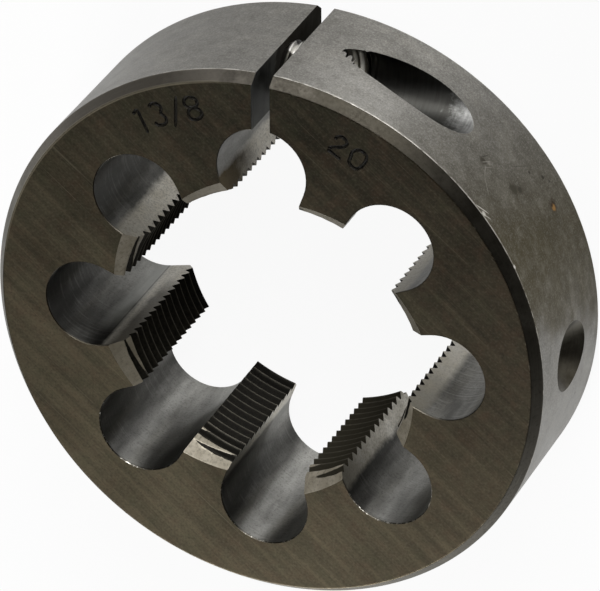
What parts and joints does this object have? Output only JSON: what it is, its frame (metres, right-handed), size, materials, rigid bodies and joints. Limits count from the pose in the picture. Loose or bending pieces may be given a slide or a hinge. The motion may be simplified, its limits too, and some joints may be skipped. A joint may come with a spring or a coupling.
{
  "type": "round threading die",
  "caption": "Split round die that cuts a right-hand screw thread on a rod, with chip holes, a set screw across the split and side dimples.",
  "frame": {"origin": "centre of the back face, on the thread's axis", "axes": "+Z along the thread's axis towards the marked face that starts the cut; +Y towards the split; +X towards the mouth of the adjusting screw's pocket"},
  "size_m": [0.0635, 0.0634, 0.0191],
  "materials": {
    "tool_steel": "hardened steel with a dark face and a ground rim",
    "screw_steel": "bright turned steel"
  },
  "bodies": {
    "body": {"die_body": "tool_steel"},
    "screw": {"adjusting_screw": "screw_steel"}
  },
  "joints": [
    {"name": "screw_turn", "type": "hinge", "parent": "body", "child": "screw", "pos_m": [0.0025, 0.02805, 0.0091], "axis": [1, 0, 0], "range_deg": [-90, 1080]}
  ]
}
